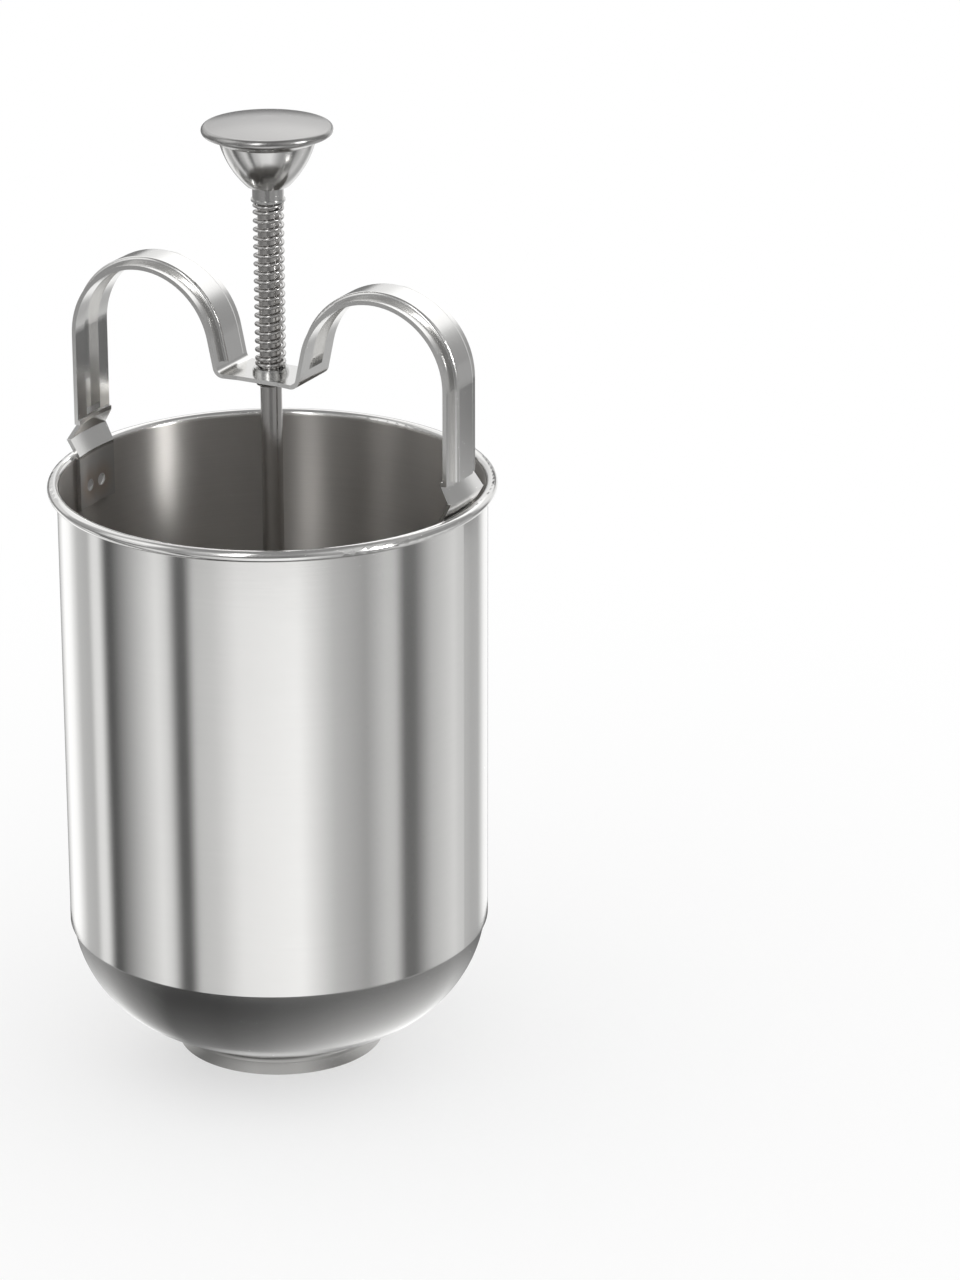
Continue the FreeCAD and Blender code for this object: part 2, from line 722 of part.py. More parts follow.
def make_nut(name, low):
    """Hexagon nut with chamfered corners at both ends."""
    body = new_body(name)
    corner_radius = "(nut_flats / 2 / cos(30))"
    corners = [
        (f"{corner_radius} * cos({angle})", f"{corner_radius} * sin({angle})")
        for angle in range(0, 360, 60)
    ]
    plan = outline(body, f"{name}_plan", "XY_Plane", corners)
    draw_circle(plan, "0", "0", R_THREAD)
    plan.setExpression("AttachmentOffset.Base.z", bound(low))
    block = body.newObject("PartDesign::Pad", f"{name}_block")
    block.Profile = plan
    block.setExpression("Length", bound("nut_height"))
    high = f"({low} + nut_height)"
    for end, face, inwards in (("low", low, "+"), ("high", high, "-")):
        bevel_corners = [
            ("nut_flats / 2", face),
            (f"{corner_radius} + nut_chamfer", f"{face} {inwards} nut_chamfer"),
            (f"{corner_radius} + nut_chamfer", face),
        ]
        bevel = outline(body, f"{name}_bevel_{end}", "XZ_Plane", bevel_corners)
        groove = body.newObject("PartDesign::Groove", f"{name}_groove_{end}")
        groove.Profile = bevel
        groove.ReferenceAxis = (bevel, ["V_Axis"])
        groove.Angle = 360
    return body


def make_stopper_disc():
    """Dished disc that closes the outlet: a flat ring, and a cone that rises to the rod."""
    ring_in = f"({R_STOPPER} - stopper_ring)"
    steepness = f"atan(stopper_rise / ({ring_in} - stopper_top_radius))"
    inset = f"stopper_sheet * tan({steepness} / 2)"
    corners = [
        (R_STOPPER, f"{Z_STOPPER} - stopper_sheet"),
        (R_STOPPER, Z_STOPPER),
        (ring_in, Z_STOPPER),
        ("stopper_top_radius", Z_STOPPER_TOP),
        (R_THREAD, Z_STOPPER_TOP),
        (R_THREAD, f"{Z_STOPPER_TOP} - stopper_sheet"),
        (f"stopper_top_radius - {inset}", f"{Z_STOPPER_TOP} - stopper_sheet"),
        (f"{ring_in} - {inset}", f"{Z_STOPPER} - stopper_sheet"),
    ]
    return turned("stopper_disc", corners)


SUB_PARTS = [
    make_container_wall(),
    make_bottom_bowl(),
    make_outlet_collar(),
    make_handle_strip(),
    make_rod_guide_bush(),
    ring("spring_bottom_washer", R_WASHER, R_SEAT_WASHER, Z_BUSH_TOP, Z_SPRING_LOW),
    make_return_spring(),
    ring("spring_top_washer", R_WASHER, R_SEAT_WASHER, Z_SPRING_HIGH, Z_FERRULE),
    make_plunger_rod(),
    ring("knob_ferrule", R_THREAD, R_FERRULE, Z_FERRULE, Z_KNOB),
    make_knob_cup(),
    ring(
        "knob_lock_washer", R_THREAD, R_LOCK_WASHER, f"{Z_KNOB} + knob_sheet", Z_KNOB_NUT
    ),
    make_nut("knob_nut", Z_KNOB_NUT),
    make_knob_cap(),
    make_stopper_disc(),
    ring("stopper_top_washer", R_THREAD, "stopper_washer_radius", Z_STOPPER_TOP, Z_TOP_NUT),
    make_nut("stopper_top_nut", Z_TOP_NUT),
    ring(
        "stopper_bottom_washer",
        R_THREAD,
        "stopper_washer_radius",
        Z_BOTTOM_WASHER,
        f"{Z_STOPPER_TOP} - stopper_sheet",
    ),
    make_nut("stopper_bottom_nut", Z_BOTTOM_NUT),
]
doc.recompute()

for item in doc.Objects:
    if {"Invalid", "Error"} & set(item.State):
        raise RuntimeError(f"{item.Label} failed: {item.State}")
for piece in SUB_PARTS:
    shape = piece.Shape
    if shape.isNull() or not shape.isValid() or len(shape.Solids) != 1:
        raise RuntimeError(f"{piece.Label} is not one sound solid")

os.makedirs("parts", exist_ok=True)
for piece in SUB_PARTS:
    piece.Shape.exportStep(f"parts/{piece.Label}.step")
    print(f"{piece.Label}: {piece.Shape.Volume:.1f} cubic mm")
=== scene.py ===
"""Looks of a hand-held donut maker in bright stainless steel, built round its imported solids.

Metres, +Z up. The handle runs along X, and the maker stands on the floor at the origin.
"""
import logging
import math
from dataclasses import dataclass, field
from enum import Enum
from typing import Any, Mapping, Sequence, Union

import bmesh
import bpy
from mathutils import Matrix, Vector


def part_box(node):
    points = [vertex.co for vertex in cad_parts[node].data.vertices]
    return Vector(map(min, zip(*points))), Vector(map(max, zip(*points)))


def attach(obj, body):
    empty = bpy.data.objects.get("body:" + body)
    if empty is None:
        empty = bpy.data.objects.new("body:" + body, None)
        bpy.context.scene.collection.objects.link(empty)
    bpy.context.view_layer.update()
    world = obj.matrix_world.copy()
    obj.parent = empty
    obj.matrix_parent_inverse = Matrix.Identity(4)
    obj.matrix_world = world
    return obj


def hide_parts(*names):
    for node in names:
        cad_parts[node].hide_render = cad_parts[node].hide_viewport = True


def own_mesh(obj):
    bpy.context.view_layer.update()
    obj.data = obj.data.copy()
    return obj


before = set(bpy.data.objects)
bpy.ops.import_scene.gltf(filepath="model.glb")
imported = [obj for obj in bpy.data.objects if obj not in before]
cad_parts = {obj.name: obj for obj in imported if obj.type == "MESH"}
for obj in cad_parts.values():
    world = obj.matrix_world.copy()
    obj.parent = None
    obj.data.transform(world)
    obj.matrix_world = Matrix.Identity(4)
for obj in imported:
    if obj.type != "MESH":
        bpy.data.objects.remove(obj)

LOG = logging.getLogger("donut_maker")
MM = 0.001

Colour = tuple[float, float, float]
Span = tuple[float, float]
Number = Union[float, "Field"]


class Field:
    """A number that varies over a surface, written in ordinary arithmetic."""

    def __init__(self, graph: "Graph", socket: bpy.types.NodeSocket) -> None:
        """Wrap one output socket of a graph."""
        self.graph = graph
        self.socket = socket

    def math(self, operation: str, *others: Number) -> "Field":
        """Add a Math node that starts from this value.

        Args:
            operation: the Math node's operation.
            others: the node's second and third values, where it takes them.

        Returns:
            The node's result.
        """
        return self.graph.math(operation, self, *others)

    def __add__(self, other: Number) -> "Field":
        """Sum."""
        return self.math("ADD", other)

    __radd__ = __add__

    def __mul__(self, other: Number) -> "Field":
        """Product."""
        return self.math("MULTIPLY", other)

    __rmul__ = __mul__

    def __sub__(self, other: Number) -> "Field":
        """Difference."""
        return self.math("SUBTRACT", other)

    def __rsub__(self, other: Number) -> "Field":
        """Difference, with this value taken away."""
        return self.graph.math("SUBTRACT", other, self)

    def __truediv__(self, other: Number) -> "Field":
        """Quotient."""
        return self.math("DIVIDE", other)

    def __pow__(self, other: Number) -> "Field":
        """Power."""
        return self.math("POWER", other)

    def __abs__(self) -> "Field":
        """Size without its sign."""
        return self.math("ABSOLUTE")

    def between(self, low: float, high: float) -> "Field":
        """Rise smoothly from 0 at one value to 1 at another.

        Args:
            low: where the result is 0.
            high: where the result is 1; it may be the lower of the two.

        Returns:
            The eased share.
        """
        flip = low > high
        settings = {"interpolation_type": "SMOOTHSTEP"}
        inputs = {
            "Value": self,
            "From Min": min(low, high),
            "From Max": max(low, high),
            "To Min": 1.0 if flip else 0.0,
            "To Max": 0.0 if flip else 1.0,
        }
        return self.graph.value("ShaderNodeMapRange", settings, inputs, "Result")


class Graph:
    """One node tree, and the few ways of adding to it."""

    def __init__(self, tree: bpy.types.NodeTree) -> None:
        """Start on an emptied tree."""
        self.tree = tree
        tree.nodes.clear()

    def node(self, kind: str, settings: Mapping[str, Any], inputs: Mapping[str, Any]) -> bpy.types.Node:
        """Add a node.

        Args:
            kind: the node's type.
            settings: its properties, set first; "stops" gives a ramp's (place, colour) pairs.
            inputs: values or links for its sockets, by name or number.

        Returns:
            The new node.
        """
        made = self.tree.nodes.new(kind)
        for name, setting in settings.items():
            if name == "stops":
                self._set_stops(made.color_ramp, setting)
            else:
                setattr(made, name, setting)
        for name, given in inputs.items():
            socket = made.inputs[name]
            if isinstance(given, Field):
                given = given.socket
            if isinstance(given, bpy.types.NodeSocket):
                self.tree.links.new(given, socket)
            else:
                socket.default_value = given
        return made

    @staticmethod
    def _set_stops(ramp: bpy.types.ColorRamp, stops: Sequence[tuple[float, Colour]]) -> None:
        """Give a ramp its stops, in order of place."""
        while len(ramp.elements) < len(stops):
            ramp.elements.new(1.0)
        for element, (place, colour) in zip(ramp.elements, stops):
            element.position = place
            element.color = (*colour, 1.0)

    def value(
        self, kind: str, settings: Mapping[str, Any], inputs: Mapping[str, Any], output: Union[str, int]
    ) -> Field:
        """Add a node and give one of its outputs as a number.

        Args:
            kind: the node's type.
            settings: its properties.
            inputs: its values or links.
            output: the name or number of the output.

        Returns:
            The output, ready for arithmetic.
        """
        return Field(self, self.node(kind, settings, inputs).outputs[output])

    def math(self, operation: str, *values: Number) -> Field:
        """Add a Math node on up to three values."""
        return self.value("ShaderNodeMath", {"operation": operation}, dict(enumerate(values)), 0)

    def mix_colour(self, share: Number, first: Any, second: Any) -> bpy.types.NodeSocket:
        """Blend two colours.

        Args:
            share: how much of the second colour shows.
            first: a colour or a colour socket.
            second: a colour or a colour socket.

        Returns:
            The blended colour's socket.
        """
        settings = {"data_type": "RGBA", "clamp_factor": True}
        inputs = {0: share, 6: self._four(first), 7: self._four(second)}
        return self.node("ShaderNodeMix", settings, inputs).outputs[2]

    @staticmethod
    def _four(colour: Any) -> Any:
        """Give a plain colour its alpha, and leave a socket as it is."""
        return colour if isinstance(colour, bpy.types.NodeSocket) else (*colour, 1.0)

    def stretched(self, place: bpy.types.NodeSocket, stretch: Colour) -> bpy.types.NodeSocket:
        """Scale a place along the three axes."""
        made = self.node("ShaderNodeVectorMath", {"operation": "MULTIPLY"}, {0: place, 1: stretch})
        return made.outputs[0]

    def noise(self, place: bpy.types.NodeSocket, per_metre: float, detail: float = 2.0) -> Field:
        """Add soft noise around one half.

        Args:
            place: where on the surface.
            per_metre: lumps to the metre.
            detail: how many finer layers it has.

        Returns:
            The noise, from about 0 to 1.
        """
        inputs = {"Vector": place, "Scale": per_metre, "Detail": detail, "Roughness": 0.5}
        return self.value("ShaderNodeTexNoise", {}, inputs, "Fac")


@dataclass
class Place:
    """Where a shaded point lies on its piece."""

    point: bpy.types.NodeSocket
    x: Field
    y: Field
    z: Field
    radius: Field

    @classmethod
    def on_piece(cls, graph: Graph) -> "Place":
        """Read the point in the piece's own frame, so that it moves with the piece."""
        coords = graph.node("ShaderNodeTexCoord", {}, {})
        point = coords.outputs["Object"]
        split = graph.node("ShaderNodeSeparateXYZ", {}, {"Vector": point})
        x, y, z = (Field(graph, socket) for socket in split.outputs)
        return cls(point, x, y, z, (x * x + y * y).math("SQRT"))


class Grain(Enum):
    """Which way the fine lines of a steel surface run."""

    AROUND = "round the upright axis"
    UPRIGHT = "up and down"
    LENGTHWISE = "along the strip"
    RINGS = "rings about the axis"


BRIGHT: Colour = (0.80, 0.795, 0.782)


@dataclass(frozen=True)
class SteelFinish:
    """Bare stainless steel: its colour, its gloss, its fine lines and its dents."""

    name: str
    colour: Colour = BRIGHT
    roughness: float = 0.2
    uneven_gloss: float = 0.06
    anisotropy: float = 0.0
    grain: Grain = Grain.AROUND
    lines_per_metre: float = 4000.0
    line_stretch: float = 0.012
    line_detail: float = 3.0
    line_depth: float = 0.004 * MM
    line_shade: float = 0.35
    smudges_per_metre: float = 60.0
    smudge_detail: float = 4.0
    smudge_shade: float = 0.35
    shaded_colour: float = 0.9
    dents_per_metre: float = 30.0
    dent_depth: float = 0.03 * MM

    def material(self) -> bpy.types.Material:
        """Build the finish as a material.

        Returns:
            The new material.
        """
        made = bpy.data.materials.new(self.name)
        made.use_nodes = True
        graph = Graph(made.node_tree)
        surface = self.surface(graph, Place.on_piece(graph))
        graph.node("ShaderNodeOutputMaterial", {}, {"Surface": surface})
        return made

    def surface(self, graph: Graph, place: Place) -> bpy.types.NodeSocket:
        """Shade the steel.

        Args:
            graph: where the nodes go.
            place: the shaded point.

        Returns:
            The shader's socket.
        """
        lines = self._lines(graph, place)
        smudges = graph.noise(place.point, self.smudges_per_metre, self.smudge_detail)
        smeared = self.uneven_gloss * (smudges - 0.5)
        brushed = 0.5 * self.uneven_gloss * (lines - 0.5)
        darker = tuple(self.shaded_colour * part for part in self.colour)
        shade = lines * self.line_shade + smudges * self.smudge_shade
        tone = graph.mix_colour(shade, self.colour, darker)
        inputs = {
            "Base Color": self.tinted(graph, place, tone),
            "Metallic": 1.0,
            "Roughness": self.roughness + smeared + brushed,
            "Anisotropic": self.anisotropy,
            "Anisotropic Rotation": 0.25,
            "Normal": self._relief(graph, place, lines),
        }
        return graph.node("ShaderNodeBsdfPrincipled", {}, inputs).outputs[0]

    def tinted(self, graph: Graph, place: Place, tone: bpy.types.NodeSocket) -> bpy.types.NodeSocket:
        """Give the steel's colour; the plain finish keeps it as it is."""
        return tone

    def height(self, graph: Graph, place: Place, lines: Field) -> Field:
        """Give the relief of the lines and the shallow dents, in metres."""
        dents = graph.noise(place.point, self.dents_per_metre, 1.0)
        return lines * self.line_depth + dents * self.dent_depth

    def _lines(self, graph: Graph, place: Place) -> Field:
        """Draw the fine lines, from 0 to 1."""
        slow = self.line_stretch
        along = {
            Grain.AROUND: (slow, slow, 1.0),
            Grain.UPRIGHT: (1.0, 1.0, slow),
            Grain.LENGTHWISE: (slow, 1.0, slow),
        }
        if self.grain is Grain.RINGS:
            ring = graph.node("ShaderNodeCombineXYZ", {}, {"X": place.radius, "Z": place.z * 0.5})
            return graph.noise(ring.outputs[0], self.lines_per_metre, self.line_detail)
        drawn = graph.stretched(place.point, along[self.grain])
        return graph.noise(drawn, self.lines_per_metre, self.line_detail)

    def _relief(self, graph: Graph, place: Place, lines: Field) -> bpy.types.NodeSocket:
        """Bend the surface's normal by its relief."""
        inputs = {"Strength": 1.0, "Distance": 1.0, "Height": self.height(graph, place, lines)}
        return graph.node("ShaderNodeBump", {}, inputs).outputs[0]


# Inside of the cylinder: a real brushed satin grain, and a colour painted darker than the bare steel as
# painted shade inside the vessel.
INSIDE = SteelFinish(
    "inside_satin_painted_shade",
    colour=(0.61, 0.588, 0.562),
    roughness=0.38,
    anisotropy=0.97,
    line_depth=0.006 * MM,
    line_shade=0.9,
    dent_depth=0.01 * MM,
)


@dataclass(frozen=True)
class WallFinish(SteelFinish):
    """Sheet that is polished outside and brushed inside, where its darker colour is painted shade, with
    a rim rolled a little unevenly.
    """

    inside: SteelFinish = INSIDE
    inside_radius: float = 49.7 * MM
    inside_blend: float = 0.1 * MM
    curl_height: float = 140.4 * MM
    curl_blend: Span = (0.8 * MM, 0.2 * MM)
    curl_reach: float = 2.0 * MM
    rim_dent: float = 0.05 * MM
    rim_dents_per_metre: float = 120.0

    def surface(self, graph: Graph, place: Place) -> bpy.types.NodeSocket:
        """Shade the polished outside and the brushed inside, whose darker colour is painted shade."""
        wall, blend = self.inside_radius, self.inside_blend
        # The mask picks the inside below the rim, where the painted shade of the inside colour goes.
        inward = place.radius.between(wall + blend, wall - blend)
        below = place.z.between(*(self.curl_height + above for above in self.curl_blend))
        sides = {
            0: inward * below,
            1: super().surface(graph, place),
            2: self.inside.surface(graph, place),
        }
        return graph.node("ShaderNodeMixShader", {}, sides).outputs[0]

    def height(self, graph: Graph, place: Place, lines: Field) -> Field:
        """Add the unevenness of the rolled rim."""
        curl = place.z.between(self.curl_height - self.curl_reach, self.curl_height)
        waves = graph.noise(place.point, self.rim_dents_per_metre, 1.0)
        return super().height(graph, place, lines) + curl * waves * self.rim_dent


@dataclass(frozen=True)
class Welds:
    """The spot welds of the two tabs, two to each."""

    radius: float = 48.8 * MM
    offset: float = 2.5 * MM
    height: float = 132.8 * MM
    dimple: float = 1.4 * MM
    dimple_blend: float = 0.3 * MM
    tint: Colour = (0.45, 0.37, 0.31)
    tint_depth: float = 0.7
    tint_reach: float = 6.0 * MM

    def distance(self, place: Place) -> Field:
        """Give the distance to the nearest weld."""
        out = abs(place.x) - self.radius
        across = abs(place.y) - self.offset
        up = place.z - self.height
        return (out * out + across * across + up * up).math("SQRT")


@dataclass(frozen=True)
class TabFinish(SteelFinish):
    """Brushed tab, tinted by the heat of its welds."""

    welds: Welds = Welds()

    def tinted(self, graph: Graph, place: Place, tone: bpy.types.NodeSocket) -> bpy.types.NodeSocket:
        """Warm the colour round the welds."""
        near = self.welds.distance(place).between(self.welds.tint_reach, self.welds.dimple)
        return graph.mix_colour(near * self.welds.tint_depth, tone, self.welds.tint)


# Tabs inside the vessel: a real brushed grain, and a dark colour that is painted shade.
TAB = TabFinish(
    "tab_satin_painted_shade", colour=(0.48, 0.47, 0.455), roughness=0.40, anisotropy=0.95, dent_depth=0.01 * MM
)
# Weld dimples: a pale, rough colour, brighter than the steel around, painted as a highlight on each
# weld.
DIMPLE_HIGHLIGHT = SteelFinish("weld_dimple_highlight", colour=(0.85, 0.845, 0.835), roughness=0.6)


@dataclass(frozen=True)
class StripFinish(SteelFinish):
    """Polished strip with brushed tabs in painted shade, whose weld dimples carry a painted highlight.
    """

    tab: TabFinish = TAB
    dimple: SteelFinish = DIMPLE_HIGHLIGHT
    tab_height: float = 141.2 * MM
    tab_blend: float = 1.0 * MM

    def surface(self, graph: Graph, place: Place) -> bpy.types.NodeSocket:
        """Shade the polished strip, its brushed tabs in painted shade and their weld dimples with a
        painted highlight.
        """
        welds = self.tab.welds
        # Near each weld the dimple's painted highlight shows; away from it, the tab's painted shade.
        away = welds.distance(place).between(welds.dimple, welds.dimple + welds.dimple_blend)
        welded = {0: away, 1: self.dimple.surface(graph, place), 2: self.tab.surface(graph, place)}
        sides = {
            0: place.z.between(self.tab_height, self.tab_height - self.tab_blend),
            1: super().surface(graph, place),
            2: graph.node("ShaderNodeMixShader", {}, welded).outputs[0],
        }
        return graph.node("ShaderNodeMixShader", {}, sides).outputs[0]


WALL = WallFinish(
    "wall_polish", roughness=0.13, uneven_gloss=0.04, anisotropy=0.5, dent_depth=0.012 * MM
)
BOWL = SteelFinish("bowl_polish", roughness=0.19, anisotropy=0.3)
STRIP = StripFinish("strip_polish", roughness=0.17, grain=Grain.LENGTHWISE)
KNOB = SteelFinish("knob_polish", colour=(0.66, 0.655, 0.645), roughness=0.18, anisotropy=0.3)
# Knob cap: spun rings of real grain, with a dark grey colour that is painted shade on its top.
CAP = SteelFinish("cap_spun_painted_shade", colour=(0.44, 0.435, 0.428), roughness=0.24, grain=Grain.RINGS)
# Outlet collar: a duller satin steel, and its darker colour is also painted shade under the bowl.
COLLAR = SteelFinish("collar_satin_painted_shade", colour=(0.55, 0.545, 0.53), roughness=0.24)
ROD = SteelFinish("rod_drawn", colour=(0.60, 0.585, 0.57), roughness=0.16, grain=Grain.UPRIGHT)
WIRE = SteelFinish("spring_wire", colour=(0.58, 0.57, 0.56), roughness=0.20)
TURNED = SteelFinish("turned_steel", colour=(0.70, 0.70, 0.69), roughness=0.26, grain=Grain.RINGS)


def dress(node: str, finish: bpy.types.Material) -> None:
    """Give a solid's object one material all over."""
    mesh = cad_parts[node].data
    mesh.materials.clear()
    mesh.materials.append(finish)
    LOG.info("%s: %s", node, finish.name)


def new_piece(name: str, mesh: bmesh.types.BMesh) -> bpy.types.Object:
    """Turn a finished bmesh into a smooth object of the scene.

    Args:
        name: the piece's name.
        mesh: its faces, which are freed.

    Returns:
        The new object.
    """
    bmesh.ops.recalc_face_normals(mesh, faces=mesh.faces)
    data = bpy.data.meshes.new(name)
    mesh.to_mesh(data)
    mesh.free()
    data.polygons.foreach_set("use_smooth", [True] * len(data.polygons))
    piece = bpy.data.objects.new(name, data)
    bpy.context.scene.collection.objects.link(piece)
    return piece


@dataclass
class ReturnSpring:
    """The wound wire between its two seat washers, with closed ends."""

    wire: float = 0.8 * MM
    turns: float = 18.0
    closed_turns: float = 1.25
    steps_per_turn: int = 36
    sides: int = 14
    travel: float = 20.0 * MM
    low: Vector = field(default_factory=lambda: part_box("return_spring")[0])
    high: Vector = field(default_factory=lambda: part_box("return_spring")[1])

    def height_at(self, turn: float) -> float:
        """Give the height of the wire's middle, close-wound at both ends."""
        total = self.turns + 2 * self.closed_turns
        span = self.high.z - self.low.z - self.wire
        closed = self.closed_turns * self.wire
        pitch = (span - 2 * closed) / self.turns
        inner = min(max(turn - self.closed_turns, 0.0), self.turns)
        outer = min(turn, self.closed_turns) + max(turn - total + self.closed_turns, 0.0)
        return self.low.z + self.wire / 2 + outer * self.wire + inner * pitch

    def build(self) -> bpy.types.Object:
        """Wind the wire as one tube.

        Returns:
            The spring's object.
        """
        mesh = bmesh.new()
        radius = self.high.x - self.wire / 2
        count = round((self.turns + 2 * self.closed_turns) * self.steps_per_turn)
        previous: list[bmesh.types.BMVert] = []
        for step in range(count + 1):
            turn = step / self.steps_per_turn
            angle = 2 * math.pi * turn
            outward = Vector((math.cos(angle), math.sin(angle), 0))
            middle = outward * radius + Vector((0, 0, self.height_at(turn)))
            ring = []
            for side in range(self.sides):
                around = 2 * math.pi * side / self.sides
                offset = outward * math.cos(around) + Vector((0, 0, math.sin(around)))
                ring.append(mesh.verts.new(middle + offset * (self.wire / 2)))
            for side in range(self.sides if previous else 0):
                nearby = (side + 1) % self.sides
                mesh.faces.new((previous[side], previous[nearby], ring[nearby], ring[side]))
            if step in (0, count):
                mesh.faces.new(ring)
            previous = ring
        piece = new_piece("spring_coil", mesh)
        piece.data.materials.append(WIRE.material())
        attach(piece, "vessel")
        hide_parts("return_spring")
        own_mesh(piece)
        LOG.info("spring_coil: wire %.1f mm", self.wire / MM)
        return piece


@dataclass
class ThreadedRod:
    """The plunger's rod, with the threads that its nuts screw on."""

    pitch: float = 0.8 * MM
    thread_depth: float = 0.36 * MM
    lower_thread: float = 24.0 * MM
    upper_thread: float = 209.5 * MM
    chamfer: float = 0.5 * MM
    sides: int = 40
    rows_per_turn: int = 8
    low: Vector = field(default_factory=lambda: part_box("plunger_rod")[0])
    high: Vector = field(default_factory=lambda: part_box("plunger_rod")[1])

    def heights(self) -> list[float]:
        """Give the heights of the rows, close together on the threads."""
        rows = []
        for start, end in ((self.low.z, self.lower_thread), (self.upper_thread, self.high.z)):
            count = round((end - start) / self.pitch * self.rows_per_turn)
            rows.extend(start + (end - start) * step / count for step in range(count + 1))
        return rows

    def radius_at(self, height: float, angle: float) -> float:
        """Give the rod's radius, on the threads and on the chamfered ends.

        Args:
            height: the row's height.
            angle: where round the rod.

        Returns:
            The radius.
        """
        beyond = max(self.lower_thread - height, height - self.upper_thread, 0.0)
        depth = self.thread_depth * min(beyond / self.pitch, 1.0)
        phase = (height / self.pitch - angle / (2 * math.pi)) % 1.0
        from_end = min(height - self.low.z, self.high.z - height)
        cut = max(depth * abs(2 * phase - 1), self.chamfer - from_end, 0.0)
        return self.high.x - cut

    def build(self) -> bpy.types.Object:
        """Make the rod as rows of points, closed at both ends.

        Returns:
            The rod's object.
        """
        mesh = bmesh.new()
        rows = []
        for height in self.heights():
            row = []
            for side in range(self.sides):
                angle = 2 * math.pi * side / self.sides
                radius = self.radius_at(height, angle)
                row.append(mesh.verts.new((radius * math.cos(angle), radius * math.sin(angle), height)))
            rows.append(row)
        for row, above in zip(rows, rows[1:]):
            for side in range(self.sides):
                nearby = (side + 1) % self.sides
                mesh.faces.new((row[side], row[nearby], above[nearby], above[side]))
        for end in (rows[0], rows[-1]):
            for edge in mesh.faces.new(end).edges:
                edge.smooth = False
        piece = new_piece("rod_threaded", mesh)
        piece.data.materials.append(ROD.material())
        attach(piece, "plunger")
        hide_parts("plunger_rod")
        LOG.info("rod_threaded: %.1f mm long", (self.high.z - self.low.z) / MM)
        return piece


@dataclass
class Vessel:
    """The batter cylinder with its bowl, outlet collar, handle, guide bush and lower spring seat."""

    turned_steel: bpy.types.Material
    turned: Sequence[str] = ("rod_guide_bush", "spring_bottom_washer")

    def build(self) -> None:
        """Dress the vessel's sheet and strip, and the turned pieces on its bridge."""
        dress("container_wall", WALL.material())
        dress("bottom_bowl", BOWL.material())
        dress("outlet_collar", COLLAR.material())
        dress("handle_strip", STRIP.material())
        for node in self.turned:
            dress(node, self.turned_steel)


@dataclass
class Plunger:
    """The rod with its knob, its stopper, their nuts and washers and the upper spring seat."""

    turned_steel: bpy.types.Material
    turned: Sequence[str] = (
        "spring_top_washer",
        "knob_lock_washer",
        "knob_nut",
        "stopper_disc",
        "stopper_top_washer",
        "stopper_top_nut",
        "stopper_bottom_washer",
        "stopper_bottom_nut",
    )
    rod: ThreadedRod = field(default_factory=ThreadedRod)

    def build(self) -> None:
        """Make the rod, and dress the knob and the small round pieces."""
        self.rod.build()
        knob = KNOB.material()
        dress("knob_ferrule", knob)
        dress("knob_cup", knob)
        dress("knob_cap", CAP.material())
        for node in self.turned:
            dress(node, self.turned_steel)


@dataclass(frozen=True)
class Panel:
    """A bright or dark card of the studio, between two bearings from the camera's side."""

    left: float
    right: float
    left_level: float
    right_level: float


